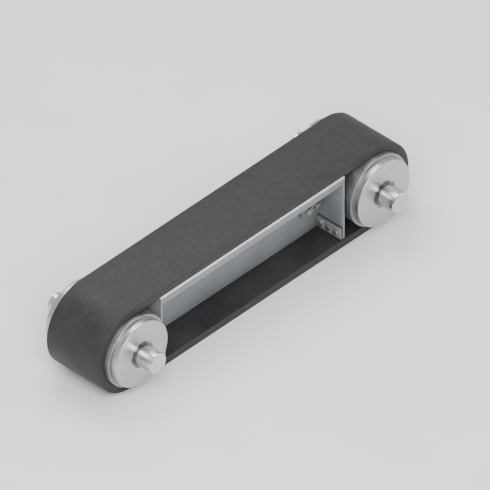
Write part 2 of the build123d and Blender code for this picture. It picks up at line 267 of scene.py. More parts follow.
def make_scuffs():
    """Long thin scratches that run with the given stretch."""
    tree, given, out = new_group(
        "scuffs", {"Stretch": (6.0, 160.0, 160.0), "Threshold": 0.62, "Amount": 0.5}, ["Mask"])
    moved = add(tree, "ShaderNodeVectorMath", {0: object_point(tree), 1: given["Stretch"]},
                operation="MULTIPLY")
    streaks = noise(tree, moved.outputs[0], 1.0, 5.0, 0.7)
    high = maths(tree, "ADD", given["Threshold"], 0.12)
    node = add(tree, "ShaderNodeMapRange", {0: streaks, 1: given["Threshold"], 2: high, 3: 0.0, 4: 1.0})
    mask = maths(tree, "MULTIPLY", node.outputs[0], given["Amount"], clamp=True)
    tree.links.new(mask, out["Mask"])
    return tree


EDGE_WEAR, DUST, GRAIN = make_edge_wear(), make_dust(), make_grain()
TURNED, SCUFFS = make_turned(), make_scuffs()


def use(tree, group, **values):
    """Places a shared effect, with its inputs given as words with underscores."""
    node = tree.nodes.new("ShaderNodeGroup")
    node.node_tree = group
    for key, value in values.items():
        node.inputs[key.replace("_", " ")].default_value = value
    return node.outputs


def start_material(name, **sockets):
    """A material with its shader, whose plain values are set on the shader's own sockets."""
    material = bpy.data.materials.new(name)
    material.use_nodes = True
    tree = material.node_tree
    shader = tree.nodes["Principled BSDF"]
    for key, value in sockets.items():
        shader.inputs[key.replace("_", " ")].default_value = value
    return material, tree, shader


def join(tree, shader, colour=None, roughness=None, metallic=None, height=None, bump=0.1, distance=0.001):
    """Links what varies over the surface into the shader."""
    for key, value in (("Base Color", colour), ("Roughness", roughness), ("Metallic", metallic)):
        if value is not None:
            tree.links.new(value, shader.inputs[key])
    if height is not None:
        node = add(tree, "ShaderNodeBump", {"Height": height, "Strength": bump, "Distance": distance})
        tree.links.new(node.outputs["Normal"], shader.inputs["Normal"])


# ------------------------------------------------------------------ materials
DUST_COLOUR = (0.30, 0.27, 0.23)


def belt_rubber(name, pitch, print_depth):
    """Black rubber with the cloth print left by its mould, rubbed grey at its edges."""
    material, tree, shader = start_material(name, Specular_IOR_Level=0.36)
    along = add(tree, "ShaderNodeAttribute", attribute_name="along").outputs["Fac"]
    across = add(tree, "ShaderNodeSeparateXYZ", {0: object_point(tree)}).outputs["Y"]
    turns = math.tau / pitch
    warp = maths(tree, "SINE", maths(tree, "MULTIPLY", along, turns))
    weft = maths(tree, "SINE", maths(tree, "MULTIPLY", across, turns))
    weave = maths(tree, "MULTIPLY", warp, weft)
    grain = use(tree, GRAIN, Fine_Scale=700.0, Broad_Scale=7.0)
    dust = use(tree, DUST, Patch_Scale=70.0, Amount=0.06, Upward=0.5)["Mask"]
    scuffs = use(tree, SCUFFS, Stretch=(5.0, 210.0, 40.0), Threshold=0.60, Amount=0.55)["Mask"]
    wear = use(tree, EDGE_WEAR, Width=0.004, Break_Up=90.0, Amount=0.8)["Mask"]
    worn = mixed(tree, grain["Tone"], (0.013, 0.013, 0.014), (0.024, 0.024, 0.025))
    scraped = mixed(tree, scuffs, worn, (0.066, 0.065, 0.064))
    rubbed = mixed(tree, wear, scraped, (0.105, 0.102, 0.099))
    colour = mixed(tree, dust, rubbed, DUST_COLOUR)
    rough = ramp(tree, grain["Tone"], 0.0, 1.0, 0.50, 0.66)
    rough = maths(tree, "ADD", rough, maths(tree, "MULTIPLY", dust, 0.35), clamp=True)
    height = maths(tree, "ADD", maths(tree, "MULTIPLY", weave, print_depth), grain["Height"])
    join(tree, shader, colour, rough, height=height, bump=0.22, distance=0.0006)
    return material


def moulded_rubber():
    """The wipers' plain black rubber."""
    material, tree, shader = start_material("moulded_rubber", Specular_IOR_Level=0.4)
    grain = use(tree, GRAIN, Fine_Scale=1100.0, Broad_Scale=30.0)
    dust = use(tree, DUST, Patch_Scale=22.0, Amount=0.5, Upward=0.4)["Mask"]
    wear = use(tree, EDGE_WEAR, Width=0.0016, Break_Up=160.0, Amount=0.7)["Mask"]
    base = mixed(tree, grain["Tone"], (0.028, 0.028, 0.029), (0.052, 0.052, 0.053))
    colour = mixed(tree, dust, mixed(tree, wear, base, (0.14, 0.135, 0.13)), DUST_COLOUR)
    rough = ramp(tree, grain["Tone"], 0.0, 1.0, 0.55, 0.72)
    join(tree, shader, colour, rough, height=grain["Height"], bump=0.2, distance=0.0006)
    return material


def painted_steel():
    """Grey paint with chipped edges, dust and a little orange peel."""
    material, tree, shader = start_material("painted_steel", Specular_IOR_Level=0.5, Coat_Weight=0.12)
    grain = use(tree, GRAIN, Fine_Scale=330.0, Broad_Scale=9.0)
    dust = use(tree, DUST, Patch_Scale=10.0, Amount=0.55, Upward=0.7)["Mask"]
    wear = use(tree, EDGE_WEAR, Width=0.0022, Break_Up=110.0, Amount=1.0)["Mask"]
    scuffs = use(tree, SCUFFS, Stretch=(30.0, 30.0, 240.0), Threshold=0.66, Amount=0.6)["Mask"]
    paint = mixed(tree, grain["Tone"], (0.150, 0.163, 0.178), (0.200, 0.215, 0.230))
    bare = maths(tree, "MAXIMUM", wear, scuffs)
    colour = mixed(tree, dust, mixed(tree, bare, paint, (0.42, 0.41, 0.40)), DUST_COLOUR)
    rough = ramp(tree, grain["Tone"], 0.0, 1.0, 0.36, 0.50)
    rough = maths(tree, "ADD", rough, maths(tree, "MULTIPLY", dust, 0.4), clamp=True)
    join(tree, shader, colour, rough, maths(tree, "MULTIPLY", bare, 0.85), grain["Height"], 0.12, 0.0006)
    return material


def turned_steel(name, axle_x, pitch, dark, light, rough_low, rough_high, bump):
    """Lathe-turned steel with rings about its own axle, oil stains and light handling marks."""
    material, tree, shader = start_material(name, Metallic=1.0)
    rings = use(tree, TURNED, Axle_X=axle_x, Axle_Z=AXLE_Z, Pitch=pitch)
    grain = use(tree, GRAIN, Fine_Scale=500.0, Broad_Scale=16.0)
    scuffs = use(tree, SCUFFS, Stretch=(90.0, 14.0, 60.0), Threshold=0.66, Amount=0.45)["Mask"]
    dust = use(tree, DUST, Patch_Scale=14.0, Amount=0.22, Upward=0.6)["Mask"]
    tone = maths(tree, "ADD", maths(tree, "MULTIPLY", rings["Tone"], 0.45),
                 maths(tree, "MULTIPLY", grain["Tone"], 0.55))
    base = mixed(tree, scuffs, mixed(tree, tone, dark, light), tuple(0.6 * value for value in dark))
    colour = mixed(tree, dust, base, DUST_COLOUR)
    rough = ramp(tree, tone, 0.2, 0.8, rough_low, rough_high)
    rough = maths(tree, "ADD", rough, maths(tree, "MULTIPLY", dust, 0.5), clamp=True)
    join(tree, shader, colour, rough, height=rings["Height"], bump=bump, distance=0.0004)
    return material


def plain_metal(name, dark, light, rough_low, rough_high, fine_scale, bump=0.15):
    """Metal with no turning marks: cast, plated or drawn."""
    material, tree, shader = start_material(name, Metallic=1.0)
    grain = use(tree, GRAIN, Fine_Scale=fine_scale, Broad_Scale=45.0)
    dust = use(tree, DUST, Patch_Scale=25.0, Amount=0.3, Upward=0.5)["Mask"]
    wear = use(tree, EDGE_WEAR, Width=0.0008, Break_Up=260.0, Amount=0.6)["Mask"]
    base = mixed(tree, grain["Tone"], dark, light)
    colour = mixed(tree, dust, mixed(tree, wear, base, (0.70, 0.69, 0.67)), DUST_COLOUR)
    rough = ramp(tree, grain["Tone"], 0.0, 1.0, rough_low, rough_high)
    join(tree, shader, colour, rough, height=grain["Height"], bump=bump, distance=0.0005)
    return material


def weld_steel():
    """Bare weld metal, blued and browned in patches."""
    material, tree, shader = start_material("weld_steel", Metallic=1.0)
    grain = use(tree, GRAIN, Fine_Scale=600.0, Broad_Scale=38.0)
    heat = mixed(tree, grain["Tone"], (0.20, 0.19, 0.20), (0.34, 0.30, 0.26))
    dust = use(tree, DUST, Patch_Scale=30.0, Amount=0.4, Upward=0.4)["Mask"]
    rough = ramp(tree, grain["Tone"], 0.0, 1.0, 0.34, 0.55)
    join(tree, shader, mixed(tree, dust, heat, DUST_COLOUR), rough, height=grain["Height"], bump=0.25)
    return material


def slider_plastic():
    """The wear liner's pale plastic, scored along the belt's travel."""
    material, tree, shader = start_material("slider_plastic", Specular_IOR_Level=0.45, Subsurface_Weight=0.04)
    grain = use(tree, GRAIN, Fine_Scale=420.0, Broad_Scale=18.0)
    scuffs = use(tree, SCUFFS, Stretch=(5.0, 190.0, 120.0), Threshold=0.56, Amount=0.7)["Mask"]
    wear = use(tree, EDGE_WEAR, Width=0.002, Break_Up=120.0, Amount=0.5)["Mask"]
    base = mixed(tree, grain["Tone"], (0.62, 0.61, 0.57), (0.74, 0.73, 0.69))
    marked = maths(tree, "MAXIMUM", scuffs, wear)
    colour = mixed(tree, maths(tree, "MULTIPLY", marked, 0.7), base, (0.30, 0.29, 0.27))
    rough = ramp(tree, grain["Tone"], 0.0, 1.0, 0.38, 0.52)
    join(tree, shader, colour, rough, height=grain["Height"], bump=0.12, distance=0.0005)
    return material


def carcass_cloth():
    """The woven cloth inside the belt."""
    material, tree, shader = start_material("carcass_cloth", Sheen_Weight=0.2)
    grain = use(tree, GRAIN, Fine_Scale=1500.0, Broad_Scale=40.0)
    weave = add(tree, "ShaderNodeTexWave", {"Vector": object_point(tree), "Scale": 160.0, "Distortion": 1.0})
    base = mixed(tree, weave.outputs["Fac"], (0.20, 0.18, 0.15), (0.36, 0.33, 0.28))
    rough = ramp(tree, grain["Tone"], 0.0, 1.0, 0.75, 0.9)
    join(tree, shader, base, rough, height=weave.outputs["Fac"], bump=0.3, distance=0.0006)
    return material


def floor_paint():
    """Pale matt paint."""
    material, tree, shader = start_material("floor_paint", Specular_IOR_Level=0.25)
    tone = ramp(tree, noise(tree, object_point(tree), 3.0, 3.0), 0.3, 0.7)
    join(tree, shader, mixed(tree, tone, (0.86, 0.86, 0.855), (0.885, 0.885, 0.88)),
         ramp(tree, tone, 0.0, 1.0, 0.62, 0.70))
    return material


RUBBER_TOP = belt_rubber("belt_rubber_top", pitch=0.0052, print_depth=0.30)
RUBBER_LINING = belt_rubber("belt_rubber_lining", pitch=0.0034, print_depth=0.65)
MOULDED = moulded_rubber()
PAINT = painted_steel()
WELD = weld_steel()
PLATED = plain_metal("plated_steel", (0.46, 0.45, 0.42), (0.62, 0.61, 0.57), 0.26, 0.42, 420.0)
CAST = plain_metal("cast_iron", (0.10, 0.10, 0.105), (0.18, 0.18, 0.185), 0.55, 0.72, 260.0, 0.5)
SPRING = plain_metal("spring_steel", (0.08, 0.08, 0.09), (0.16, 0.16, 0.17), 0.28, 0.42, 500.0)
BRONZE = plain_metal("bronze", (0.46, 0.29, 0.12), (0.62, 0.42, 0.20), 0.25, 0.40, 450.0)
CORD_WIRE = plain_metal("cord_wire", (0.42, 0.41, 0.38), (0.58, 0.57, 0.53), 0.28, 0.40, 800.0)
CAP_STEEL = {end: turned_steel(f"cap_steel_{end}", x, 0.0011, (0.40, 0.40, 0.405), (0.56, 0.56, 0.56),
                               0.26, 0.42, 0.16) for end, x in AXLE_PLACE.items()}
DRUM_STEEL = {end: turned_steel(f"drum_steel_{end}", x, 0.0016, (0.26, 0.26, 0.265), (0.40, 0.40, 0.40),
                                0.34, 0.50, 0.25) for end, x in AXLE_PLACE.items()}
SHAFT_STEEL = {end: turned_steel(f"shaft_steel_{end}", x, 0.0006, (0.48, 0.48, 0.485), (0.66, 0.66, 0.66),
                                 0.16, 0.28, 0.08) for end, x in AXLE_PLACE.items()}

SLOT_FINISH = {
    "belt_rubber": RUBBER_TOP,
    "carcass_fabric": carcass_cloth(),
    "cord_steel": CORD_WIRE,
    "wiper_rubber": MOULDED,
    "liner_plastic": slider_plastic(),
    "frame_paint": PAINT,
    "bronze": BRONZE,
    "cast_iron": CAST,
    "spring_steel": SPRING,
    "zinc_steel": PLATED,
}
TURNED_FINISH = {"ground_steel": SHAFT_STEEL, "drum_steel": DRUM_STEEL, "cap_steel": CAP_STEEL}


def finish_of(node):
    """The material of a node, from its slot and, on turned work, its end."""
    slot = SLOT_OF[node]
    if slot in TURNED_FINISH:
        return TURNED_FINISH[slot][node.split("_")[0]]
    return SLOT_FINISH[slot]


def paint_cad_nodes():
    """Gives every plain node its finish."""
    for node, piece in NODES.items():
        if not piece.material_slots:
            piece.data.materials.append(finish_of(node))
        for place in piece.material_slots:
            place.material = finish_of(node)


# ------------------------------------------------------------------ mesh helpers
TURN_STEPS = 144
# The least angle, in degrees, that stays a crisp edge.
BELT_CREASE = 40
TURNED_CREASE = 30
PLATE_CREASE = 24
BEAD_CREASE = 50
MERGE_GAP = 1e-6
FLAT_ANGLE = math.radians(0.5)
HARD_ANGLE = math.radians(32.0)
ROUND_SEGMENTS = 2


def add_piece(name, mesh, body, slot, *nodes):
    """Links a finished mesh, lets it ride on its body and stand for its nodes."""
    piece = bpy.data.objects.new(name, mesh)
    bpy.context.scene.collection.objects.link(piece)
    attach(piece, body)
    if nodes:
        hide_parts(*nodes)


def smooth_by_angle(mesh, degrees):
    """Smooth faces, with edges sharper than the angle kept crisp."""
    edit = bmesh.new()
    edit.from_mesh(mesh)
    limit = math.radians(degrees)
    for face in edit.faces:
        face.smooth = True
    for edge in edit.edges:
        edge.smooth = len(edge.link_faces) == 2 and edge.calc_face_angle() < limit
    edit.to_mesh(mesh)
    edit.free()


def rounded(points, radii, steps=4):
    """A closed outline whose corners are arcs of the given radii; 0 keeps a corner."""
    outline = []
    count = len(points)
    for index, radius in enumerate(radii):
        corner = Vector(points[index])
        back = (Vector(points[index - 1]) - corner).normalized()
        ahead = (Vector(points[(index + 1) % count]) - corner).normalized()
        if radius == 0:
            outline.append(corner)
            continue
        half = back.angle(ahead) / 2
        reach = radius / math.tan(half)
        centre = corner + (back + ahead).normalized() * (radius / math.sin(half))
        first, last = corner + back * reach - centre, corner + ahead * reach - centre
        sweep = first.angle_signed(last)
        for step in range(steps + 1):
            spoke = first.copy()
            spoke.rotate(Matrix.Rotation(-sweep * step / steps, 2))
            outline.append(centre + spoke)
    return outline


def closed_off(edit, name):
    """The edited shape as a named mesh, with its faces outwards."""
    bmesh.ops.recalc_face_normals(edit, faces=edit.faces)
    mesh = bpy.data.meshes.new(name)
    edit.to_mesh(mesh)
    edit.free()
    return mesh


def lathed(name, sections):
    """A mesh round an axis, from the same closed section's places at each step of the turn."""
    edit = bmesh.new()
    rings = [[edit.verts.new(place) for place in section] for section in sections]
    for ring, following in zip(rings, rings[1:] + rings[:1]):
        for corner in range(len(ring)):
            after = (corner + 1) % len(ring)
            edit.faces.new((ring[corner], ring[after], following[after], following[corner]))
    return closed_off(edit, name)


def spokes(count):
    """Cosine and sine of each step of a full turn."""
    return [(math.cos(math.tau * step / count), math.sin(math.tau * step / count)) for step in range(count)]


def turned_mesh(name, outline, axle_x):
    """A lathe-turned mesh about the axle, from a closed (radius, y) outline."""
    return lathed(name, [[(axle_x + r * cosine, y, AXLE_Z + r * sine) for r, y in outline]
                         for cosine, sine in spokes(TURN_STEPS)])


def merged_copy(node):
    """A node's loose triangles joined into whole shells, open for editing."""
    edit = bmesh.new()
    edit.from_mesh(NODES[node].data)
    bmesh.ops.remove_doubles(edit, verts=edit.verts, dist=MERGE_GAP)
    return edit


def softened_mesh(node, width):
    """A merged copy of a node's mesh, with its hard edges rounded."""
    edit = merged_copy(node)
    bmesh.ops.dissolve_limit(edit, angle_limit=FLAT_ANGLE, verts=edit.verts, edges=edit.edges)
    mesh = bpy.data.meshes.new(node + "_soft")
    edit.to_mesh(mesh)
    edit.free()
    carrier = bpy.data.objects.new(node + "_carrier", mesh)
    bpy.context.scene.collection.objects.link(carrier)
    bevel = carrier.modifiers.new("bevel", "BEVEL")
    bevel.width = width
    bevel.segments = ROUND_SEGMENTS
    bevel.limit_method = "ANGLE"
    bevel.angle_limit = HARD_ANGLE
    bevel.use_clamp_overlap = True
    return made_real(carrier, node + "_finished")


def made_real(carrier, name):
    """The evaluated mesh of an object with live modifiers; the carrier is removed."""
    ready = carrier.evaluated_get(bpy.context.evaluated_depsgraph_get())
    mesh = bpy.data.meshes.new_from_object(ready)
    mesh.name = name
    bpy.data.objects.remove(carrier)
    return mesh


# ------------------------------------------------------------------ geometry node trees
ARC_SHARE = 0.9995  # of half the loop's height, so a short flat is left between the arcs
BEAD_STEPS = 10
DRIFT_SCALE = 40.0
BEAD_LEAST = 0.85
DRIFT_SHARE = 0.3


def new_geometry_tree(name, inputs):
    """A geometry tree that takes and gives a mesh, with named inputs."""
    tree = bpy.data.node_groups.new(name, "GeometryNodeTree")
    socket(tree, "Geometry", "NodeSocketGeometry")
    socket(tree, "Geometry", "NodeSocketGeometry", outgoing=True)
    for label, (kind, value) in inputs.items():
        socket(tree, label, kind, value=value)
    return tree, tree.nodes.new("NodeGroupInput").outputs, tree.nodes.new("NodeGroupOutput").inputs


def finish_tree(tree, geometry, material, out):
    """Ends a tree in Realize Instances and Set Material."""
    real = add(tree, "GeometryNodeRealizeInstances", {0: geometry}).outputs[0]
    dressed = add(tree, "GeometryNodeSetMaterial", {"Geometry": real, "Material": material})
    tree.links.new(dressed.outputs[0], out[0])


def make_belt_tree():
    """Sweeps a section round a loop of two half circles and two straight runs.
    Each point keeps its distance along the loop, which starts again in a short flat at the front end."""
    tree, given, out = new_geometry_tree("belt_loop", {
        "Wheel Spacing": ("NodeSocketFloat", 1.0),
        "Loop Radius": ("NodeSocketFloat", 0.1),
        "Arc Steps": ("NodeSocketInt", 24),
        "Section": ("NodeSocketObject", None),
        "Material": ("NodeSocketMaterial", None),
    })
    height = maths(tree, "MULTIPLY", given["Loop Radius"], 2.0)
    length = maths(tree, "ADD", given["Wheel Spacing"], height)
    frame_curve = add(tree, "GeometryNodeCurvePrimitiveQuadrilateral", {"Width": length, "Height": height})
    radius = maths(tree, "MULTIPLY", given["Loop Radius"], ARC_SHARE)
    loop = add(tree, "GeometryNodeFilletCurve", {
        "Curve": frame_curve.outputs[0], "Count": given["Arc Steps"], "Radius": radius}, mode="POLY")
    upright = add(tree, "GeometryNodeSetCurveNormal", {"Curve": loop.outputs[0]}, mode="Z_UP")
    run = tree.nodes.new("GeometryNodeSplineParameter").outputs["Length"]
    marked = add(tree, "GeometryNodeStoreNamedAttribute", {
        "Geometry": upright.outputs[0], "Name": "along", "Value": run}, data_type="FLOAT", domain="POINT")
    section = add(tree, "GeometryNodeObjectInfo", {"Object": given["Section"]})
    swept = add(tree, "GeometryNodeCurveToMesh", {
        "Curve": marked.outputs[0], "Profile Curve": section.outputs["Geometry"]})
    stood = add(tree, "GeometryNodeTransform", {
        "Geometry": swept.outputs[0], "Translation": (0, 0, AXLE_Z), "Rotation": (math.pi / 2, 0, 0)})
    finish_tree(tree, stood.outputs[0], given["Material"], out)
    return tree


def make_weld_tree():
    """Lays a rippled bead along every edge of the carrier mesh."""
    tree, given, out = new_geometry_tree("weld_bead", {
        "Bead Radius": ("NodeSocketFloat", 0.004),
        "Ripple Pitch": ("NodeSocketFloat", 0.0035),
        "Ripple Depth": ("NodeSocketFloat", 0.12),
        "Step": ("NodeSocketFloat", 0.0012),
        "Seed": ("NodeSocketFloat", 3.0),
        "Material": ("NodeSocketMaterial", None),
    })
    path = add(tree, "GeometryNodeMeshToCurve", {0: given["Geometry"]})
    fine = add(tree, "GeometryNodeResampleCurve", {
        "Curve": path.outputs[0], "Length": given["Step"]}, mode="LENGTH")
    run = tree.nodes.new("GeometryNodeSplineParameter").outputs["Length"]
    drift = add(tree, "ShaderNodeTexNoise", {
        "W": maths(tree, "ADD", maths(tree, "MULTIPLY", run, DRIFT_SCALE), given["Seed"]), "Scale": 1.0},
        noise_dimensions="1D").outputs["Fac"]
    phase = maths(tree, "DIVIDE", maths(tree, "MULTIPLY", run, math.tau), given["Ripple Pitch"])
    wave = maths(tree, "MULTIPLY", maths(tree, "SINE", phase), given["Ripple Depth"])
    swell = maths(tree, "ADD", maths(tree, "ADD", wave, BEAD_LEAST),
                  maths(tree, "MULTIPLY", drift, DRIFT_SHARE))
    ring = add(tree, "GeometryNodeCurvePrimitiveCircle", {
        "Resolution": BEAD_STEPS, "Radius": given["Bead Radius"]})
    bead = add(tree, "GeometryNodeCurveToMesh", {
        "Curve": fine.outputs[0], "Profile Curve": ring.outputs[0], "Scale": swell, "Fill Caps": True})
    finish_tree(tree, bead.outputs[0], given["Material"], out)
    return tree


def make_fastener_tree():
    """Sets one fastener on every point of the carrier, turned to the point's facing."""
    tree, given, out = new_geometry_tree("fastener_set", {
        "Fastener": ("NodeSocketObject", None),
        "Turn Seed": ("NodeSocketInt", 5),
        "Material": ("NodeSocketMaterial", None),
    })
    part = add(tree, "GeometryNodeObjectInfo", {"Object": given["Fastener"]})
    facing = add(tree, "GeometryNodeInputNamedAttribute", {"Name": "facing"}, data_type="FLOAT_VECTOR")
    aimed = add(tree, "FunctionNodeAlignRotationToVector", {"Vector": facing.outputs[0]}, axis="Z")
    spin = add(tree, "FunctionNodeRandomValue", {
        2: 0.0, 3: math.tau, "Seed": given["Turn Seed"]}, data_type="FLOAT")
    about = add(tree, "ShaderNodeCombineXYZ", {"Z": spin.outputs[1]})
    turned = add(tree, "FunctionNodeRotateRotation", {
        "Rotation": aimed.outputs[0], "Rotate By": about.outputs[0]}, rotation_space="LOCAL")
    placed = add(tree, "GeometryNodeInstanceOnPoints", {
        "Points": given["Geometry"], "Instance": part.outputs["Geometry"], "Rotation": turned.outputs[0]})
    finish_tree(tree, placed.outputs[0], given["Material"], out)
    return tree


def grown(name, tree, carrier_mesh, values):
    """Runs a geometry tree on a carrier mesh and gives back the plain mesh."""
    carrier = bpy.data.objects.new(name + "_carrier", carrier_mesh)
    bpy.context.scene.collection.objects.link(carrier)
    modifier = carrier.modifiers.new("grow", "NODES")
    modifier.node_group = tree
    for item in tree.interface.items_tree:
        if item.item_type == "SOCKET" and item.in_out == "INPUT" and item.name in values:
            modifier[item.identifier] = values[item.name]
    return made_real(carrier, name)


def helper_object(name, data):
    """An object that only feeds a geometry tree; it is removed after use."""
    helper = bpy.data.objects.new(name, data)
    bpy.context.scene.collection.objects.link(helper)
    return helper


# ------------------------------------------------------------------ belt
EDGE_ROUND = 2.2 * MM
JOINT_ROUND = 0.6 * MM
ARC_STEPS = 36


def section_curve(name, points, radii):
    """A belt section as a closed curve: x is outward from the loop, y is across the belt."""
    outline = rounded(points, radii)
    data = bpy.data.curves.new(name, "CURVE")
    data.dimensions = "3D"
    spline = data.splines.new("POLY")
    spline.points.add(len(outline) - 1)
    for point, place in zip(spline.points, outline):
        point.co = (place.x, place.y, 0, 1)
    spline.use_cyclic_u = True
    return helper_object(name, data)


def belt_layer(name, tree, points, radii, loop_radius, material, node):
    """One rubber layer of the belt, from its (radius, across) section."""
    shifted = [(out - loop_radius, across) for out, across in points]
    section = section_curve(name + "_section", shifted, radii)
    mesh = grown(name, tree, bpy.data.meshes.new(name + "_seed"), {
        "Wheel Spacing": 2 * AXLE_X, "Loop Radius": loop_radius, "Arc Steps": ARC_STEPS,
        "Section": section, "Material": material})
    bpy.data.objects.remove(section)
    fix = bmesh.new()
    fix.from_mesh(mesh)
    bmesh.ops.recalc_face_normals(fix, faces=fix.faces)
    fix.to_mesh(mesh)
    fix.free()
    smooth_by_angle(mesh, BELT_CREASE)
    add_piece(name, mesh, "root", "belt_rubber", node)


def add_belt():
    """The outer cover, with a pocket for the carcass, and the lining under it."""
    tree = make_belt_tree()
    half, core = BELT_HALF_WIDTH, CARCASS_HALF_WIDTH
    outer, joint, pocket = BELT_RADIUS, LINING_RADIUS, CARCASS_RADIUS
    inner = BELT_INNER_RADIUS
    middle = (outer + inner) / 2
    belt_layer("belt_top_cover", tree,
               [(joint, -half), (outer, -half), (outer, half), (joint, half),
                (joint, core), (pocket, core), (pocket, -core), (joint, -core)],
               [JOINT_ROUND, EDGE_ROUND, EDGE_ROUND, JOINT_ROUND, 0, 0, 0, 0],
               middle, RUBBER_TOP, "belt_outer_cover")
    belt_layer("belt_lining", tree,
               [(inner, -half), (joint, -half), (joint, half), (inner, half)],
               [EDGE_ROUND, JOINT_ROUND, JOINT_ROUND, EDGE_ROUND],
               middle, RUBBER_LINING, "belt_inner_cover")


# ------------------------------------------------------------------ turned drum pieces
SHELL_EDGE = 1.6 * MM
CAP_EDGE = 4.5 * MM
CAP_SMALL = 1.0 * MM
STUB = next(mount for mount in frame["record"]["mounts"] if mount["kind"] == "pin")
STUB_RADIUS = STUB["dims"]["r_mm"] * MM
CAP_FACE = 10 * MM
CAP_SKIRT = 8 * MM
RECESS_DEPTH = 6 * MM
RECESS_RADIUS = 49 * MM


def add_drum_shell(end, side):
    """The tube that the belt runs on, with rolled edges, as one half of a drum has it."""
    node = f"{end}_{side}_drum_shell"
    low, high = corners(node)
    outer = (high.z - low.z) / 2
    cap_low, cap_high = corners(f"{end}_{side}_end_cap")
    bore = (cap_high.z - cap_low.z) / 2
    outline = rounded([(bore, low.y), (outer, low.y), (outer, high.y), (bore, high.y)],
                      [CAP_SMALL, SHELL_EDGE, SHELL_EDGE, CAP_SMALL])
    mesh = turned_mesh(node + "_turned", outline, AXLE_PLACE[end])
    mesh.materials.append(DRUM_STEEL[end])
    smooth_by_angle(mesh, TURNED_CREASE)
    add_piece(node + "_turned", mesh, f"{end}_drum", "drum_steel", node)


def add_end_cap(end, side):
    """A pressed cap: a flat face with a rolled edge, a recess for the circlip and a skirt."""
    node = f"{end}_{side}_end_cap"
    low, high = corners(node)
    outer = (high.z - low.z) / 2
    sign = SIDES[side]
    face = high.y if sign > 0 else -low.y
    skirt = low.y if sign > 0 else -high.y
    face_back = face - CAP_FACE
    skirt_bore = outer - CAP_SKIRT
    recess_floor = face - RECESS_DEPTH
    points = [
        (STUB_RADIUS, face_back), (skirt_bore, face_back), (skirt_bore, skirt), (outer, skirt),
        (outer, face), (RECESS_RADIUS, face), (RECESS_RADIUS, recess_floor), (STUB_RADIUS, recess_floor)]
    radii = [0, CAP_EDGE, CAP_SMALL, CAP_SMALL, CAP_EDGE, CAP_SMALL, CAP_SMALL, CAP_SMALL]
    outline = [(r, y * sign) for r, y in rounded(points, radii)]
    mesh = turned_mesh(node + "_turned", outline, AXLE_PLACE[end])
    mesh.materials.append(CAP_STEEL[end])
    smooth_by_angle(mesh, TURNED_CREASE)
    add_piece(node + "_turned", mesh, f"{end}_drum", "cap_steel", node)


# ------------------------------------------------------------------ frame pieces
PLATE_ROUND = 0.9 * MM
WIPER_ROUND = 1.4 * MM
CHANNEL_ROUND = 1.5 * MM
ARM_ROUND = 1.6 * MM
WELD_END_GAP = 12 * MM
WELD_FOOT_GAP = 4 * WELD_END_GAP
WELD_EDGE_GAP = 8 * MM
WELD_ARM_GAP = 46 * MM
BEAD_RADIUS = 0.0042
RIPPLE_PITCH = 0.0036
RIPPLE_DEPTH = 0.10


def add_softened(node, width):
    """Stands a round-edged copy in place of a plain node of the frame."""
    mesh = softened_mesh(node, width)
    mesh.materials.clear()
    mesh.materials.append(finish_of(node))
    smooth_by_angle(mesh, PLATE_CREASE)
    add_piece(node + "_finished", mesh, "root", SLOT_OF[node], node)


def weld_runs():
    """Both ends of each fillet weld: web to channel, web to walls past the arms, and walls to channel."""
    web_low, web_high = corners("centre_web")
    web_side = web_high.y
    wall_half = -corners("slider_channel")[0].y - WELD_EDGE_GAP
    runs = []
    for side in SIDES.values():
        runs.append([(web_low.x + WELD_END_GAP, side * web_side, web_high.z),
                     (web_high.x - WELD_END_GAP, side * web_side, web_high.z)])
        for end in ENDS.values():
            wall = web_high.x * end
            runs.append([(wall, side * web_side, web_low.z + WELD_FOOT_GAP),
                         (wall, side * web_side, AXLE_Z - WELD_ARM_GAP)])
            runs.append([(wall, side * web_side, AXLE_Z + WELD_ARM_GAP),
                         (wall, side * web_side, web_high.z - WELD_END_GAP)])
            runs.append([(wall, side * 2 * web_side, web_high.z),
                         (wall, side * (wall_half - WELD_END_GAP / 2), web_high.z)])
    return runs


def add_welds():
    """A bead along every weld run of the frame."""
    runs = weld_runs()
    places = [place for run in runs for place in run]
    mesh = bpy.data.meshes.new("weld_paths")
    mesh.from_pydata(places, [(2 * index, 2 * index + 1) for index in range(len(runs))], [])
    bead = grown("frame_welds", make_weld_tree(), mesh, {
        "Bead Radius": BEAD_RADIUS, "Ripple Pitch": RIPPLE_PITCH, "Ripple Depth": RIPPLE_DEPTH,
        "Material": WELD})
    smooth_by_angle(bead, BEAD_CREASE)
    add_piece("frame_welds", bead, "root", "zinc_steel")


# ------------------------------------------------------------------ fasteners
HEX_STEPS = 48
WASHER_STEPS = 40
WASHER_ROUND = 0.4 * MM
CHAMFER_SLOPE = math.tan(math.radians(30))
FACE_SHARE = 0.96  # of half the width across flats, for the round face inside the chamfer
THREAD_ROOT = 0.93  # of the shank's radius
ARM_BOLT_COUNT = 8
WIPER_BOLT_COUNT = 12
ARM_PLATE_FACE = 18 * MM
ARM_WASHER = {"bore": 8.1 * MM, "outer": 15 * MM, "thickness": 3 * MM}
ARM_NUT = {"across_flats": 24 * MM, "height": 13 * MM, "bore": 8 * MM}
ARM_BOLT = {"across_flats": 24 * MM, "head": 10 * MM, "shank_radius": 8 * MM}
WIPER_BOLT = {"across_flats": 17 * MM, "head": 6.5 * MM, "shank_radius": 5 * MM}


def round_ring(edit, radius, height):
    """A ring of new points about the Z axis."""
    return [edit.verts.new((radius * cosine, radius * sine, height)) for cosine, sine in spokes(HEX_STEPS)]


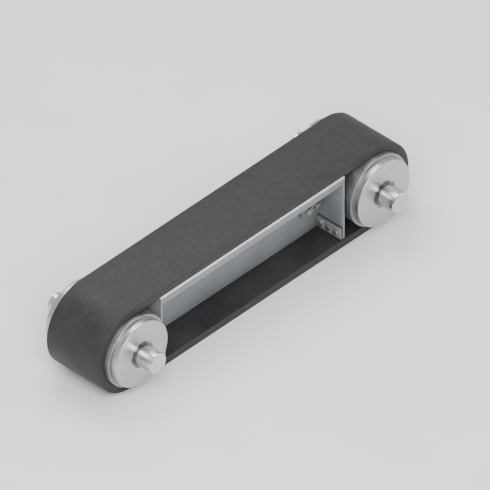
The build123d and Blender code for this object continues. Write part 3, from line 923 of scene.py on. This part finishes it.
def hex_ring(edit, across_flats, height, lean):
    """A hexagon's ring, whose corners leave the height by the chamfer: lean is -1 down, 1 up, 0 level."""
    flat_radius = across_flats / 2
    ring = []
    for step, (cosine, sine) in enumerate(spokes(HEX_STEPS)):
        angle = math.tau * step / HEX_STEPS
        sector = (angle + math.pi / 6) % (math.pi / 3) - math.pi / 6
        reach = min(flat_radius / math.cos(sector), across_flats / math.sqrt(3))
        drop = (reach - flat_radius * FACE_SHARE) * CHAMFER_SLOPE
        ring.append(edit.verts.new((reach * cosine, reach * sine, height + lean * drop)))
    return ring


def skinned(edit, levels):
    """Faces from each ring to the next."""
    for first, second in zip(levels, levels[1:]):
        for index in range(HEX_STEPS):
            after = (index + 1) % HEX_STEPS
            edit.faces.new((first[index], first[after], second[after], second[index]))


def bolt_mesh(name, across_flats, head, shank_radius, shank):
    """A hexagon bolt whose head stands on z = 0; its shank, ringed as if threaded, runs down."""
    edit = bmesh.new()
    levels = [round_ring(edit, across_flats / 2 * FACE_SHARE, head), hex_ring(edit, across_flats, head, -1),
              hex_ring(edit, across_flats, 0.0, 0), round_ring(edit, shank_radius, 0.0)]
    turns = max(2, int(shank / (shank_radius / 4 / 2)))
    for turn in range(1, turns + 1):
        radius = shank_radius * (THREAD_ROOT if turn % 2 else 1.0)
        levels.append(round_ring(edit, radius, -shank * turn / turns))
    skinned(edit, levels)
    edit.faces.new(levels[0])
    edit.faces.new(list(reversed(levels[-1])))
    return closed_off(edit, name)


def nut_mesh(name, across_flats, height, bore):
    """A hexagon nut that stands on z = 0, chamfered above and below, with a plain bore."""
    edit = bmesh.new()
    face = across_flats / 2 * FACE_SHARE
    levels = [round_ring(edit, face, height), hex_ring(edit, across_flats, height, -1),
              hex_ring(edit, across_flats, 0.0, 1), round_ring(edit, face, 0.0),
              round_ring(edit, bore, 0.0), round_ring(edit, bore, height)]
    skinned(edit, levels + levels[:1])
    return closed_off(edit, name)


def washer_mesh(name, bore, outer, thickness):
    """A stamped washer with rolled edges, standing on z = 0."""
    outline = rounded([(bore, 0), (outer, 0), (outer, thickness), (bore, thickness)],
                      [WASHER_ROUND] * 4, steps=2)
    return lathed(name, [[(r * cosine, r * sine, z) for r, z in outline]
                         for cosine, sine in spokes(WASHER_STEPS)])


def point_cloud(name, places):
    """A carrier mesh of loose points, each with the way that its fastener faces."""
    mesh = bpy.data.meshes.new(name)
    mesh.from_pydata([place for place, _ in places], [], [])
    facing = mesh.attributes.new("facing", "FLOAT_VECTOR", "POINT")
    for index, (_, way) in enumerate(places):
        facing.data[index].vector = way
    return mesh


def add_fasteners(name, tree, part_mesh, places, node, seed):
    """Stands one made fastener at each place, for a node that holds them all."""
    part = helper_object(name + "_part", part_mesh)
    mesh = grown(name, tree, point_cloud(name + "_points", places), {
        "Fastener": part, "Turn Seed": seed, "Material": PLATED})
    bpy.data.objects.remove(part)
    smooth_by_angle(mesh, PLATE_CREASE)
    add_piece(name, mesh, "root", SLOT_OF[node], node)


def solid_boxes(node, count):
    """The box corners of each separate solid in a node that holds several."""
    edit = merged_copy(node)
    seen, boxes = set(), []
    for start in edit.verts:
        if start in seen:
            continue
        stack, group = [start], []
        seen.add(start)
        while stack:
            vert = stack.pop()
            group.append(vert.co.copy())
            for edge in vert.link_edges:
                other = edge.other_vert(vert)
                if other not in seen:
                    seen.add(other)
                    stack.append(other)
        low = Vector(min(point[axis] for point in group) for axis in range(3))
        high = Vector(max(point[axis] for point in group) for axis in range(3))
        boxes.append((low, high))
    edit.free()
    if len(boxes) != count:
        raise ValueError(f"{node} holds {len(boxes)} solids, not {count}")
    return sorted(boxes, key=lambda box: tuple(box[0]))


def add_arm_fasteners(tree):
    """Bolts through the bearing arms and the web, each with its nut and two washers."""
    thick = ARM_WASHER["thickness"]
    bolts = solid_boxes("arm_bolts", ARM_BOLT_COUNT)
    middles = [(low + high) / 2 for low, high in bolts]
    heads = [((middle.x, -ARM_PLATE_FACE - thick, middle.z), (0, -1, 0)) for middle in middles]
    shank = bolts[0][1].y + ARM_PLATE_FACE + thick
    add_fasteners("arm_bolts_made", tree, bolt_mesh("arm_bolt", shank=shank, **ARM_BOLT), heads,
                  "arm_bolts", seed=5)
    nuts = [((middle.x, ARM_PLATE_FACE + thick, middle.z), (0, 1, 0)) for middle in middles]
    add_fasteners("arm_nuts_made", tree, nut_mesh("arm_nut", **ARM_NUT), nuts, "arm_nuts", seed=9)
    rings = [((middle.x, side * ARM_PLATE_FACE, middle.z), (0, side, 0))
             for middle in middles for side in SIDES.values()]
    add_fasteners("arm_washers_made", tree, washer_mesh("arm_washer", **ARM_WASHER), rings,
                  "arm_washers", seed=2)


def add_wiper_bolts(tree):
    """Bolts through the wiper clamps into the end walls."""
    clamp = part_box("front_left_wiper_clamp")[0][0]
    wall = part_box("front_end_wall")[1][0]
    places = []
    for low, high in solid_boxes("wiper_bolts", WIPER_BOLT_COUNT):
        middle = (low + high) / 2
        end = 1 if middle.x > 0 else -1
        places.append(((end * clamp, middle.y, middle.z), (-end, 0, 0)))
    add_fasteners("wiper_bolts_made", tree, bolt_mesh("wiper_bolt", shank=wall - clamp, **WIPER_BOLT),
                  places, "wiper_bolts", seed=7)


# ------------------------------------------------------------------ put it together
add_camera()
add_world(WORLD_STRENGTH, WORLD_COLOUR)
for softbox in SOFTBOXES:
    add_softbox(*softbox)
add_floor(FLOOR_HALF, floor_paint())

paint_cad_nodes()
add_belt()
for end_name in ENDS:
    for side_name in SIDES:
        add_drum_shell(end_name, side_name)
        add_end_cap(end_name, side_name)
        add_softened(f"{end_name}_{side_name}_wiper", WIPER_ROUND)
        add_softened(f"{end_name}_{side_name}_wiper_clamp", PLATE_ROUND)
    add_softened(f"{end_name}_end_wall", PLATE_ROUND)
    add_softened(f"{end_name}_bearing_arm", ARM_ROUND)
add_softened("slider_channel", CHANNEL_ROUND)
add_softened("wear_liner", PLATE_ROUND)
add_softened("centre_web", PLATE_ROUND)
add_welds()
fastener_tree = make_fastener_tree()
add_arm_fasteners(fastener_tree)
add_wiper_bolts(fastener_tree)
